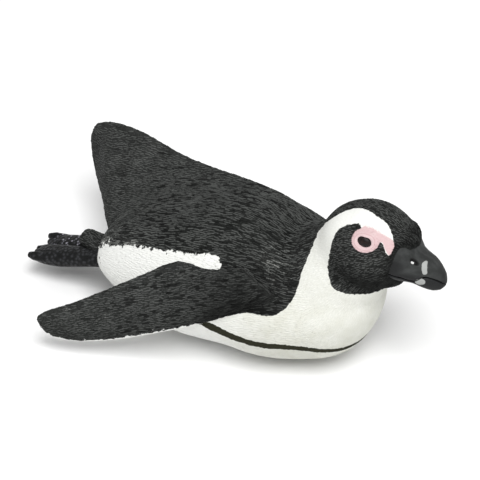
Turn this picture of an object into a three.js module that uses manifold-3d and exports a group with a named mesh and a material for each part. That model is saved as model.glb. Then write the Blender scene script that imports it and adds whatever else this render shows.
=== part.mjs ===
// Moulded vinyl figurine of an African penguin lying on its belly: head up, flippers swept back,
// the right one low beside the body and the left one raised.
// Millimetres, +Z up, head towards +X, the bird's right side towards -Y. The belly lies on Z = 0.
import * as THREE from "three";
import { mergeVertices } from "three/addons/utils/BufferGeometryUtils.js";
import Module from "manifold-3d";

const wasm = await Module();
wasm.setup();

// ---- driving dimensions -------------------------------------------------------------------------
const gap = 0.3; // clearance between neighbouring sub-parts
const rumpX = -44.4; // rear end of the trunk
const breastX = 21.8; // front end of the trunk
const backZ = 31.8; // height of the back above the floor
const trunkHalfWidth = 19; // widest half breadth, just behind the shoulders
const bellySink = 0.5; // depth of belly cut away to leave the flat that it rests on
const headCentre = new THREE.Vector3(18.6, 0.3, 31.6);
const headRearX = -11; // in the head's frame
const headFrontX = 10.25;
const browZ = 3.4; // height of the forehead's front end, above the bill
const headHalfWidth = 9.6;
const headPitch = 8; // degrees that the bill points down
const headRoll = 12; // degrees that the crown leans to the bird's left
const billTipX = 17.9; // bill tip ahead of the head's centre
const billSquareness = 2.5; // 2 gives the bill oval sections, more gives it flatter sides
const eyeRadius = 1.5;
const flipperThickness = 3.2; // at the middle of the blade
const feet = { // middle, how far forward and how low, and degrees that the toes hang down
  right: { y: -2.15, forward: 0, drop: 0, hang: 0 },
  left: { y: 3.5, forward: 0.1, drop: 1, hang: 1.4 },
};
const footHalfWidth = 2.6;
const tailY = 1.2; // the tail end of the body bends this far to the bird's left
const toePaths = [
  { across: -1.85, tipX: -60.6, z: 6.6, radius: 0.95 },
  { across: -0.1, tipX: -59.9, z: 6.4, radius: 0.9 },
  { across: 1.7, tipX: -60.3, z: 6, radius: 0.85 },
];
const tailTipX = -50.9; // rear end of the tail wedge
const webTipX = -59.4; // rear end of the web between the toes
const hiddenX = -38; // the tail and feet start here, inside the trunk

// ---- helpers ------------------------------------------------------------------------------------
const v3 = (x, y, z) => new THREE.Vector3(x, y, z);
const radians = THREE.MathUtils.degToRad;
const fractions = (count) => Array.from({ length: count }, (_, i) => i / (count - 1));

// Fractions from 0 to 1 that crowd towards both ends, so that rounded ends stay round.
const roundedFractions = (count) => fractions(count).map((t) => (1 - Math.cos(Math.PI * t)) / 2);

// A smooth function through [position, value] pairs.
function profile(...pairs) {
  const samples = new THREE.SplineCurve(pairs.map(([x, y]) => new THREE.Vector2(x, y))).getPoints(240);
  return (x) => {
    const next = samples.findIndex((sample) => sample.x >= x);
    if (next < 1) return samples[next === 0 ? 0 : samples.length - 1].y;
    const [a, b] = [samples[next - 1], samples[next]];
    return THREE.MathUtils.mapLinear(x, a.x, b.x, a.y, b.y);
  };
}

// Closed skin over a list of rings, with one point closing each end.
function skinRings(rings, first, last) {
  const sides = rings[0].length;
  const points = [first, ...rings.flat(), last];
  const at = (ring, i) => 1 + ring * sides + (i % sides);
  const index = [];
  for (let i = 0; i < sides; i++) {
    index.push(0, at(0, i + 1), at(0, i));
    index.push(points.length - 1, at(rings.length - 1, i), at(rings.length - 1, i + 1));
  }
  for (let ring = 0; ring + 1 < rings.length; ring++) {
    for (let i = 0; i < sides; i++) {
      index.push(at(ring, i), at(ring, i + 1), at(ring + 1, i));
      index.push(at(ring, i + 1), at(ring + 1, i + 1), at(ring + 1, i));
    }
  }
  const geometry = new THREE.BufferGeometry().setFromPoints(points);
  geometry.setIndex(index);
  return geometry;
}

// A closed three.js geometry as a manifold solid, whichever way its faces are wound.
function toSolid(geometry) {
  const bare = geometry.clone();
  bare.deleteAttribute("normal");
  bare.deleteAttribute("uv");
  const merged = mergeVertices(bare, 1e-4);
  const vertProperties = new Float32Array(merged.attributes.position.array);
  const wind = (turn) => {
    const triVerts = new Uint32Array(merged.index.array);
    for (let i = 0; turn && i < triVerts.length; i += 3) {
      [triVerts[i], triVerts[i + 1]] = [triVerts[i + 1], triVerts[i]];
    }
    return new wasm.Manifold(new wasm.Mesh({ numProp: 3, vertProperties, triVerts }));
  };
  const solid = wind(false);
  return solid.volume() > 0 ? solid : wind(true);
}

function toMesh(name, solid, material) {
  const { vertProperties, triVerts } = solid.getMesh();
  const geometry = new THREE.BufferGeometry();
  geometry.setAttribute("position", new THREE.Float32BufferAttribute(vertProperties, 3));
  geometry.setIndex(new THREE.Uint32BufferAttribute(triVerts, 1));
  geometry.computeVertexNormals();
  const mesh = new THREE.Mesh(geometry, material);
  mesh.name = name;
  return mesh;
}

// Loft along X. Each section is an upper and a lower half oval that meet at the widest height,
// and grow swells the whole solid by that much.
function loftAlongX(shape) {
  const { fromX, toX, steps, sides, width, top, bottom, waist, middleY, squareness = 2, grow = 0 } = shape;
  const oval = (wave) => Math.sign(wave) * Math.abs(wave) ** (2 / squareness);
  const ring = (x) => fractions(sides + 1).slice(0, -1).map((turn) => {
    const [across, rise] = [oval(Math.cos(2 * Math.PI * turn)), oval(Math.sin(2 * Math.PI * turn))];
    const reach = rise >= 0 ? top(x) - waist(x) : waist(x) - bottom(x);
    return v3(x, middleY(x) + across * (width(x) + grow), waist(x) + rise * (reach + grow));
  });
  const rings = roundedFractions(steps + 2).slice(1, -1)
    .map((t) => ring(THREE.MathUtils.lerp(fromX, toX, t)));
  const end = (x, beyond) => v3(x + beyond * grow, middleY(x), waist(x));
  return skinRings(rings, end(fromX, -1), end(toX, 1));
}

// Blade between a leading and a trailing edge, each a smooth curve from root to tip.
function blade({ leading, trailing, thickness, steps, sides }) {
  const [front, back] = [new THREE.CatmullRomCurve3(leading), new THREE.CatmullRomCurve3(trailing)];
  const rings = fractions(steps).map((t) => {
    const [a, b] = [front.getPoint(t), back.getPoint(t)];
    const middle = a.clone().lerp(b, 0.5);
    const halfChord = b.clone().sub(middle);
    const span = front.getTangent(t).add(back.getTangent(t));
    const normal = halfChord.clone().cross(span).normalize();
    return fractions(sides + 1).slice(0, -1).map((turn) => {
      const [across, rise] = [Math.cos(2 * Math.PI * turn), Math.sin(2 * Math.PI * turn)];
      const fullness = 1 - 0.35 * across; // thicker near the leading edge
      return middle.clone()
        .addScaledVector(halfChord, across)
        .addScaledVector(normal, (rise * fullness * thickness(t)) / 2);
    });
  });
  const centre = (ring) => ring.reduce((sum, p) => sum.add(p), v3(0, 0, 0)).divideScalar(ring.length);
  return skinRings(rings, centre(rings[0]), centre(rings[steps - 1]));
}

// Thin flat cutter through a point, square to a direction.
function thinCut(point, direction, size) {
  const box = new THREE.BoxGeometry(size, size, gap);
  const turn = new THREE.Quaternion().setFromUnitVectors(v3(0, 0, 1), direction.clone().normalize());
  return toSolid(box.applyQuaternion(turn).translate(point.x, point.y, point.z));
}

// The pieces that a cut leaves, in order along a direction.
function partsAlong(solid, direction) {
  const place = (piece) => {
    const { min, max } = piece.boundingBox();
    return v3(...min).add(v3(...max)).dot(direction);
  };
  return solid.decompose().sort((a, b) => place(a) - place(b));
}

// ---- trunk --------------------------------------------------------------------------------------
const trunkShape = {
  fromX: rumpX,
  toX: breastX,
  steps: 26,
  sides: 34,
  width: profile([rumpX, 0], [-43.8, 4.2], [-42, 8.4], [-38, 11.4], [-30, 14.8], [-20, 17.4],
    [-10, trunkHalfWidth], [0, 18.2], [7, 16], [14, 13.4], [18.6, 9.6], [21.2, 4.8], [breastX, 0]),
  top: profile([rumpX, 12.5], [-43.8, 14.8], [-42, 17.5], [-38, 21.4], [-30, 26], [-20, 29.6],
    [-10, backZ], [0, 29.1], [7, 24.3], [14, 23.3], [18.6, 21.8], [21.2, 19.2], [breastX, 16]),
  bottom: profile([rumpX, 12.5], [-43.8, 10.8], [-42, 9], [-38, 6], [-30, 1.6], [-22, -bellySink],
    [0, -bellySink], [9, 0.9], [15, 3.7], [19, 7.8], [21.2, 12], [breastX, 16]),
  waist: profile([rumpX, 12.5], [-30, 13.5], [-15, 15], [0, 16], [breastX, 16]),
  middleY: profile([rumpX, tailY], [-20, 0], [0, 0], [breastX, 0]),
};
const trunkGrown = (grow) => toSolid(loftAlongX({ ...trunkShape, grow }));

// ---- head, bill and eyes, in the head's frame: +X to the bill, origin at the head's centre --------
const headTurn = new THREE.Quaternion().setFromEuler(
  new THREE.Euler(radians(-headRoll), radians(headPitch), 0));
const headFrame = new THREE.Matrix4().compose(headCentre, headTurn, v3(1, 1, 1));
const headSolid = (geometry) => toSolid(geometry.applyMatrix4(headFrame));
const centreLine = () => 0;

const headShape = {
  fromX: headRearX,
  toX: headFrontX,
  steps: 18,
  sides: 30,
  width: profile([headRearX, 0], [-10.4, 4], [-7, 8], [-1, headHalfWidth], [4, 8.4], [8, 5.9],
    [9.8, 3.2], [headFrontX, 0]),
  top: profile([headRearX, -1], [-10.4, 2.8], [-7, 7], [-1, 9.2], [4, 8.7], [8, 6.6],
    [9.5, 5], [headFrontX, browZ]),
  bottom: profile([headRearX, -1], [-10.4, -5], [-7, -8.6], [-1, -9.8], [4, -9.2], [8, -7.4],
    [9.4, -5.4], [10, -1.5], [headFrontX, browZ]),
  waist: profile([headRearX, -1], [4, -1], [8, 1], [headFrontX, browZ]),
  middleY: centreLine,
};
const headGrown = (grow) => headSolid(loftAlongX({ ...headShape, grow }));

// The bill's plates start on the cheeks, so its root is as wide as the face there.
const billShape = {
  fromX: 6.2,
  toX: billTipX,
  steps: 16,
  sides: 26,
  squareness: billSquareness,
  width: profile([6.2, 6.2], [8, 6], [9.5, 5.2], [12, 3.9], [15, 2.6], [17.2, 1.2], [billTipX, 0]),
  top: profile([6.2, 5.8], [8, 5.6], [9.2, 4.3], [10.2, 3], [11.8, 2.4], [13.3, 2.2], [14.7, 1.6],
    [16.1, 0.6], [17.2, -0.5], [billTipX, -2.4]),
  bottom: profile([6.2, -4.6], [9, -4.5], [11.3, -4.3], [13.2, -4.7], [15.2, -4.8], [16.4, -4.4],
    [17.2, -3.8], [billTipX, -2.4]),
  waist: profile([6.2, -0.6], [12, -1], [15, -1.4], [billTipX, -2.4]),
  middleY: centreLine,
};
const billGrown = (grow) => headSolid(loftAlongX({ ...billShape, grow }));

// The mouth is a thin wavy sheet from the gape to below the hook of the upper bill.
function mouthCut() {
  const line = [v3(5, -2.2, 0), v3(9.1, -2.4, 0), v3(11, -2.9, 0), v3(12.2, -2.6, 0), v3(13.2, -1.5, 0),
    v3(14, -1.2, 0), v3(15.2, -1.35, 0), v3(16.5, -1.75, 0), v3(17.5, -2.3, 0), v3(19, -3.4, 0)];
  const curve = new THREE.CatmullRomCurve3(line);
  const route = curve.getPoints(24);
  const edge = (shift) => route.map((p) => [p.x, p.y + shift]);
  const outline = [...edge(gap / 2), ...edge(-gap / 2).reverse()];
  const shape = new THREE.Shape(outline.map(([x, z]) => new THREE.Vector2(x, z)));
  const sheet = new THREE.ExtrudeGeometry(shape, { depth: 16, bevelEnabled: false });
  return headSolid(sheet.rotateX(Math.PI / 2).translate(0, 8, 0));
}

// Eyes are domes let into sockets on the widest part of the face.
const eyePlace = { x: 0.6, z: 4.1, y: 7.3 };
function eyeSolid(side, radius) {
  const ball = new THREE.SphereGeometry(radius, 14, 8);
  return headSolid(ball.translate(eyePlace.x, side * eyePlace.y, eyePlace.z));
}

// ---- neck: from inside the breast up into the head ----------------------------------------------
function neckTube() {
  const path = new THREE.CatmullRomCurve3(
    [v3(2, 0, 15), v3(9, 0.1, 20), v3(14, 0.2, 25.5), v3(18, 0.3, 31)]);
  const wide = profile([0, 13.6], [0.35, 12.6], [0.7, 9.7], [1, 6.8]);
  const deep = profile([0, 12], [0.35, 11.7], [0.7, 10.2], [1, 6.8]);
  const rings = fractions(14).map((t) => {
    const side = v3(0, 1, 0);
    const up = path.getTangent(t).cross(side);
    return fractions(33).slice(0, -1).map((turn) => path.getPoint(t)
      .addScaledVector(side, Math.cos(2 * Math.PI * turn) * wide(t))
      .addScaledVector(up, Math.sin(2 * Math.PI * turn) * deep(t)));
  });
  return toSolid(skinRings(rings, path.getPoint(0), path.getPoint(1)));
}

// ---- flippers -----------------------------------------------------------------------------------
const flipperDepth = profile([0, 6.5], [0.3, 4.6], [0.7, flipperThickness], [0.93, 2.2], [1, 1]);
const rightFlipper = toSolid(blade({
  leading: [v3(4, -13.5, 21.5), v3(-4.5, -18.9, 19.6), v3(-10.8, -20, 14.9), v3(-21.6, -21, 9.6),
    v3(-30, -22, 6), v3(-38.6, -24, 4.2), v3(-44.7, -25.2, 4.8), v3(-47.6, -25.4, 8.3)],
  trailing: [v3(-5, -13, 27), v3(-11.5, -16, 26.6), v3(-17.9, -15.7, 27), v3(-25, -19, 23.5),
    v3(-32, -21.6, 19.2), v3(-40.4, -24, 14.1), v3(-45, -25, 11.6), v3(-47.5, -25.4, 9.4)],
  thickness: flipperDepth,
  steps: 18,
  sides: 18,
}));
const leftEdges = {
  leading: [v3(4, 7.5, 24.5), v3(-1.7, 9.6, 28.9), v3(-10.6, 12.2, 29.7), v3(-21.6, 15.2, 28.1),
    v3(-34, 19.3, 26.5), v3(-44.4, 21.4, 28), v3(-52.5, 22.8, 27.4), v3(-57.2, 23.8, 25.1)],
  trailing: [v3(-8, 10, 18), v3(-18, 12, 16), v3(-28, 12.8, 12.8), v3(-38, 12, 9.6),
    v3(-47.5, 9.8, 6), v3(-52.4, 15.4, 10.6), v3(-57.6, 21.8, 15.2), v3(-59.2, 24, 20.5)],
};
const leftFlipper = toSolid(blade({ ...leftEdges, thickness: flipperDepth, steps: 18, sides: 18 }));

// The raised flipper is moulded to the back: a web fills the fold between them, from the curve of
// the back to the blade's leading edge. Each station is an x of the back, and shares of the
// blade's length and of its chord.
function foldWeb() {
  const [front, back] = [leftEdges.leading, leftEdges.trailing]
    .map((line) => new THREE.CatmullRomCurve3(line));
  const { width, top, waist, middleY } = trunkShape;
  const onBack = (x, degrees) => [x, middleY(x) + width(x) * Math.cos(radians(degrees)),
    waist(x) + (top(x) - waist(x)) * Math.sin(radians(degrees))];
  const onBlade = (t, share, lift) => back.getPoint(t).lerp(front.getPoint(t), share)
    .addScaledVector(v3(-0.16, -0.78, 0.61), lift).toArray();
  const stations = [[-44, 0.9, 0.8], [-43.8, 0.82, 0.87], [-43, 0.72, 0.9], [-41, 0.62, 0.92],
    [-37, 0.53, 0.93], [-31, 0.44, 0.93], [-24, 0.34, 0.93], [-16, 0.26, 0.93], [-9, 0.19, 0.93],
    [-3, 0.125, 0.93], [1.5, 0.07, 0.93]];
  const sections = stations.map(([x, t, share]) => [onBack(x, 74), onBack(x, 8),
    onBlade(t, 0.06, 0), onBlade(t, share, flipperThickness * 0.3)]);
  return sections.slice(1).map((section, i) => wasm.Manifold.hull([...sections[i], ...section]))
    .reduce((web, part) => web.add(part));
}

// ---- tail and feet ------------------------------------------------------------------------------
const tailShape = {
  fromX: tailTipX,
  toX: hiddenX,
  steps: 12,
  sides: 18,
  squareness: 3,
  width: profile([tailTipX, 0], [tailTipX + 0.2, 1.8], [-50, 2.3], [-47, 3], [-42, 4.6], [hiddenX, 5.5]),
  top: profile([tailTipX, 10.4], [tailTipX + 0.3, 11.6], [-49.8, 12], [-48, 11.8], [-45, 10.7],
    [hiddenX, 11]),
  bottom: profile([tailTipX, 10.4], [tailTipX + 0.3, 9.5], [-49, 9], [-45, 8.4], [hiddenX, 8.2]),
  waist: profile([tailTipX, 10.4], [hiddenX, 9.8]),
  middleY: profile([tailTipX, 2 * tailY], [hiddenX, tailY]),
};
const tailGrown = (grow) => toSolid(loftAlongX({ ...tailShape, grow }));

// A foot trails behind the tail, sloping down to its toes: a web with three toes along it. The
// first toe is the outer one.
function footSolid(side) {
  const { y, forward, drop, hang } = feet[side];
  const web = toSolid(loftAlongX({
    fromX: webTipX,
    toX: hiddenX,
    steps: 12,
    sides: 18,
    squareness: 3,
    width: profile([webTipX, 0], [webTipX + 0.4, 2.1], [-54, footHalfWidth], [-48, 2.4], [hiddenX, 2.3]),
    top: profile([webTipX, 6.3], [webTipX + 0.7, 7.3], [-55, 8.6], [-49.7, 9.9], [-43, 11.3],
      [hiddenX, 12]),
    bottom: profile([webTipX, 6.3], [webTipX + 0.9, 5.3], [-56, 5.2], [-52.5, 5.8], [-47.4, 7.3],
      [-42.6, 8.8], [hiddenX, 9.6]),
    waist: profile([webTipX, 6.2], [-52, 7], [-47.4, 8.4], [hiddenX, 10.7]),
    middleY: () => 0,
  }));
  const toes = toePaths.map(({ across, tipX, z, radius }) => {
    const path = new THREE.CatmullRomCurve3([v3(-50, across * 0.8, 8), v3(-56, across, z + 0.4),
      v3(tipX, across, z)]);
    const rings = fractions(7).map((t) => {
      const reach = radius * (t < 0.9 ? 1 : 0.55);
      return fractions(9).slice(0, -1).map((turn) => path.getPoint(t)
        .add(v3(0, reach * Math.cos(2 * Math.PI * turn), reach * Math.sin(2 * Math.PI * turn))));
    });
    return toSolid(skinRings(rings, path.getPoint(0), path.getPoint(1)));
  });
  const foot = toes.reduce((sum, toe) => sum.add(toe), web);
  const turned = side === "right" ? foot : foot.mirror([0, 1, 0]);
  return turned.translate([48, 0, -9]).rotate([0, -hang, 0]).translate([forward - 48, y, 9 - drop]);
}

// ---- parting the pieces -------------------------------------------------------------------------
const deep = 200; // larger than the whole bird
const floor = toSolid(new THREE.BoxGeometry(deep, deep, deep).translate(0, 0, -deep / 2));
const neckCut = thinCut(v3(9.5, 0, 21.5), v3(0.78, 0, 0.62), 44);
const headCut = thinCut(v3(14.5, 0.2, 26.8), v3(0.62, 0, 0.78), 30);
const sockets = eyeSolid(-1, eyeRadius + gap).add(eyeSolid(1, eyeRadius + gap));
const flesh = trunkGrown(0).add(neckTube()).add(headGrown(0)).subtract(floor).subtract(sockets)
  .subtract(billGrown(gap));
const [trunk, neck, head] = partsAlong(flesh.subtract(neckCut).subtract(headCut), v3(1, 0, 1));
const [billLower, billUpper] = partsAlong(billGrown(0).subtract(mouthCut()), v3(0, 0, 1));
const bodyRoom = trunkGrown(gap);
const rearRoom = bodyRoom.add(tailGrown(gap));
const [rightFoot, leftFoot] = [footSolid("right"), footSolid("left")];
const flipperRoom = rearRoom.add(leftFoot.translate([0, gap, 0]));

// ---- assembly -----------------------------------------------------------------------------------
const paint = (color, roughness) => new THREE.MeshStandardMaterial({ color, roughness, metalness: 0 });
const blackPaint = paint(0x3a3c3a, 0.75);
const whitePaint = paint(0xf4f5ef, 0.7);
const hornPaint = paint(0x414343, 0.45);
const footPaint = paint(0x303233, 0.4);
const eyePaint = paint(0x1c1514, 0.3);

const group = new THREE.Group();
group.add(
  toMesh("trunk", trunk, blackPaint),
  toMesh("neck", neck, whitePaint),
  toMesh("head", head, blackPaint),
  toMesh("bill_upper", billUpper, hornPaint),
  toMesh("bill_lower", billLower, hornPaint),
  toMesh("eye_right", eyeSolid(-1, eyeRadius), eyePaint),
  toMesh("eye_left", eyeSolid(1, eyeRadius), eyePaint),
  toMesh("flipper_right", rightFlipper.subtract(bodyRoom), blackPaint),
  toMesh("flipper_left", leftFlipper.add(foldWeb()).subtract(flipperRoom), blackPaint),
  toMesh("tail", tailGrown(0).subtract(bodyRoom), blackPaint),
  toMesh("foot_right", rightFoot.subtract(rearRoom), footPaint),
  toMesh("foot_left", leftFoot.subtract(rearRoom), footPaint),
);

// The origin is below the middle of the bird's box, on the floor.
const middle = new THREE.Box3().setFromObject(group).getCenter(new THREE.Vector3());
group.position.set(-middle.x, -middle.y, 0);

export default group;
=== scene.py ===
import math

import bpy
import numpy as np
from mathutils import Euler, Matrix, Vector
from mathutils.bvhtree import BVHTree


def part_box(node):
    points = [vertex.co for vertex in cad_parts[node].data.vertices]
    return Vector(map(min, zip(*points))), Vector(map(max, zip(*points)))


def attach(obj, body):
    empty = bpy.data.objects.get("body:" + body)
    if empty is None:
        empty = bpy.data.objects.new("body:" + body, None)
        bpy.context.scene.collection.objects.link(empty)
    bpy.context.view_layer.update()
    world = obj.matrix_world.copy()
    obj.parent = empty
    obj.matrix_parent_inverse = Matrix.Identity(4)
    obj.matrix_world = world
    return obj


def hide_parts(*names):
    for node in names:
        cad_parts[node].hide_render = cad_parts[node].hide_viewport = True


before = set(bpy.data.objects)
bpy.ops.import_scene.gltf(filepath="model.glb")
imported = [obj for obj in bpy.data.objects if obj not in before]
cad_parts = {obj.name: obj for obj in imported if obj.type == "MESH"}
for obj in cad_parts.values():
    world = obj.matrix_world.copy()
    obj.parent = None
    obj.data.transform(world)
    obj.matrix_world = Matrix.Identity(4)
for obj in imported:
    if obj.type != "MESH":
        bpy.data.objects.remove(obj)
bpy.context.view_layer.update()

scene = bpy.context.scene
mm = 0.001
tiny = 1e-12  # keeps a division from failing where a length is nothing

# Places are given in millimetres from two points of the bird: the middle of its head, in the
# head's own turned frame (+X to the bill, +Y left, +Z up), and the point on the floor that the
# body's sizes are measured from.
birdPlan = {
    "headTurn": (-12, 8, 0),  # roll, pitch and yaw of the head in degrees
    "eyesInHead": (0.6, 0, 4.1),  # point midway between the eyes, in the head's frame
    "headOnBody": (18.6, 0.3, 31.6),  # the head's middle from the body's floor point
}


def middleOf(name):
    low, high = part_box(name)
    return (low + high) / 2


roll, pitch, yaw = (math.radians(angle) for angle in birdPlan["headTurn"])
headTurn = Euler((roll, 0, 0)).to_matrix() @ Euler((0, pitch, 0)).to_matrix()
betweenEyes = (middleOf("eye_right") + middleOf("eye_left")) / 2
headMiddle = betweenEyes - headTurn @ (Vector(birdPlan["eyesInHead"]) * mm)
bodyStart = headMiddle - Vector(birdPlan["headOnBody"]) * mm


def fromHead(x, y, z):
    return headMiddle + headTurn @ (Vector((x, y, z)) * mm)


def fromBody(x, y, z):
    return bodyStart + Vector((x, y, z)) * mm


def inHead(points):
    return (points - np.array(headMiddle)) @ np.array(headTurn) / mm


def inBody(points):
    return (points - np.array(bodyStart)) / mm


# Picking and finishing pieces
def pickOnly(*pieces):
    bpy.ops.object.select_all(action="DESELECT")
    for piece in pieces:
        piece.select_set(True)
    bpy.context.view_layer.objects.active = pieces[-1]


def applyModifier(piece, kind, **settings):
    pickOnly(piece)
    modifier = piece.modifiers.new(kind.lower(), kind)
    for name, value in settings.items():
        setattr(modifier, name, value)
    bpy.ops.object.modifier_apply(modifier=modifier.name)


def joinInto(pieces, name):
    pickOnly(*pieces)
    bpy.ops.object.join()
    whole = bpy.context.active_object
    whole.name = name
    whole.data.name = name
    return whole


def copyOfNode(name, grow=0.0):
    # a merged copy of a CAD solid, swollen by so many metres
    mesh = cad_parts[name].data.copy()
    mesh.materials.clear()
    piece = bpy.data.objects.new("copy_" + name, mesh)
    scene.collection.objects.link(piece)
    pickOnly(piece)
    bpy.ops.object.mode_set(mode="EDIT")
    bpy.ops.mesh.select_all(action="SELECT")
    bpy.ops.mesh.remove_doubles(threshold=0.01 * mm)
    bpy.ops.object.mode_set(mode="OBJECT")
    if grow:
        applyModifier(piece, "DISPLACE", strength=grow, mid_level=0.0, direction="NORMAL")
    return piece


def applyPlace(piece):
    pickOnly(piece)
    bpy.ops.object.transform_apply(location=True, rotation=True, scale=True)


def readPoints(mesh):
    places = np.empty(len(mesh.vertices) * 3, np.float32)
    mesh.vertices.foreach_get("co", places)
    return places.reshape(-1, 3).astype(float)


def writePoints(mesh, places):
    mesh.vertices.foreach_set("co", places.astype(np.float32).ravel())
    mesh.update()


def readNormals(mesh):
    normals = np.empty(len(mesh.vertices) * 3, np.float32)
    mesh.vertex_normals.foreach_get("vector", normals)
    return normals.reshape(-1, 3).astype(float)


def writeValues(mesh, name, values):
    attribute = mesh.attributes.get(name) or mesh.attributes.new(name, "FLOAT", "POINT")
    attribute.data.foreach_set("value", np.asarray(values, np.float32))


def shadeSmooth(mesh):
    for face in mesh.polygons:
        face.use_smooth = True


def finishPiece(piece, paint, replaced=()):
    piece.data.materials.clear()
    piece.data.materials.append(paint)
    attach(piece, "root")
    if replaced:
        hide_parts(*replaced)
    return piece


# Shader maths written as Python sums
class Signal:
    def __init__(self, board, socket):
        self.board = board
        self.socket = socket

    def maths(self, operation, first, second):
        return self.board.add("ShaderNodeMath", {"operation": operation}, {0: first, 1: second})

    def __add__(self, other):
        return self.maths("ADD", self, other)

    def __sub__(self, other):
        return self.maths("SUBTRACT", self, other)

    def __mul__(self, other):
        return self.maths("MULTIPLY", self, other)

    def __rsub__(self, other):
        return self.maths("SUBTRACT", other, self)

    __radd__ = __add__
    __rmul__ = __mul__

    def size(self):
        return self.maths("ABSOLUTE", self, 0.0)

    def most(self, other):
        return self.maths("MAXIMUM", self, other)

    def ramp(self, low, high):
        # 0 below low, 1 above high, eased between them
        settings = {"interpolation_type": "SMOOTHSTEP"}
        return self.board.add("ShaderNodeMapRange", settings, {0: self, 1: low, 2: high, 3: 0.0, 4: 1.0})


class PaintBoard:
    def __init__(self, name):
        self.material = bpy.data.materials.new(name)
        self.material.use_nodes = True
        self.tree = self.material.node_tree
        self.shader = self.tree.nodes["Principled BSDF"]

    def put(self, node, socket, value):
        if isinstance(value, Signal):
            self.tree.links.new(value.socket, node.inputs[socket])
        else:
            node.inputs[socket].default_value = value

    def add(self, kind, settings, values, output=0):
        node = self.tree.nodes.new(kind)
        for name, value in settings.items():
            setattr(node, name, value)
        for socket, value in values.items():
            self.put(node, socket, value)
        return Signal(self, node.outputs[output])

    def place(self):
        return self.add("ShaderNodeTexCoord", {}, {}, "Object")

    def value(self, name):
        return self.add("ShaderNodeAttribute", {"attribute_name": name}, {}, "Fac")

    def noise(self, scale, detail=2.0, stretch=(1, 1, 1)):
        place = self.add("ShaderNodeMapping", {}, {"Vector": self.place(), "Scale": stretch})
        values = {"Vector": place, "Scale": scale, "Detail": detail}
        return self.add("ShaderNodeTexNoise", {}, values, "Fac")

    def blend(self, mask, first, second):
        settings = {"data_type": "RGBA"}
        return self.add("ShaderNodeMix", settings, {0: mask, 6: first, 7: second}, 2)

    def finish(self, colour, roughness, bump=None, depth=0.0, **constants):
        self.put(self.shader, "Base Color", colour)
        self.put(self.shader, "Roughness", roughness)
        if bump is not None:
            values = {"Height": bump, "Strength": 1.0, "Distance": depth}
            self.put(self.shader, "Normal", self.add("ShaderNodeBump", {}, values, "Normal"))
        for name, value in constants.items():
            self.put(self.shader, name.replace("_", " "), value)
        return self.material


def shade(red, green, blue):
    return (red, green, blue, 1.0)


# Markings: signed distances in millimetres, positive inside the painted shape
def smoothOutline(corners, steps=6):
    # a closed curve through the corners
    corners = np.array(corners, float)
    before, after = np.roll(corners, 1, 0), np.roll(corners, -1, 0)
    beyond = np.roll(corners, -2, 0)
    points = []
    for t in np.arange(steps) / steps:
        points.append(0.5 * (2 * corners + (after - before) * t
                             + (2 * before - 5 * corners + 4 * after - beyond) * t ** 2
                             + (3 * corners - before - 3 * after + beyond) * t ** 3))
    return np.stack(points, 1).reshape(-1, 2)


def insideOutline(outline, across, up):
    nearest = np.full(across.shape, np.inf)
    inside = np.zeros(across.shape, bool)
    for (x0, y0), (x1, y1) in zip(outline, np.roll(outline, -1, 0)):
        dx, dy = x1 - x0, y1 - y0
        part = np.clip(((across - x0) * dx + (up - y0) * dy) / (dx * dx + dy * dy + tiny), 0, 1)
        nearest = np.minimum(nearest, np.hypot(across - x0 - part * dx, up - y0 - part * dy))
        edge = dx * (up - y0) / (dy + tiny * (dy == 0)) + x0
        inside ^= ((y0 > up) != (y1 > up)) & (across < edge)
    return np.where(inside, nearest, -nearest)


def share(value, low, high):
    # 0 at low, 1 at high and straight between them; low may be the larger
    return np.clip((value - low) / (high - low), 0, 1)


def bell(distance, radius):
    return np.exp(-(distance / radius) ** 2)


def smoothMost(first, second, blend=0.8):
    # the larger of two values, with the corner rounded off
    part = np.clip(0.5 + 0.5 * (first - second) / blend, 0, 1)
    return second * (1 - part) + first * part + blend * part * (1 - part)


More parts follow.
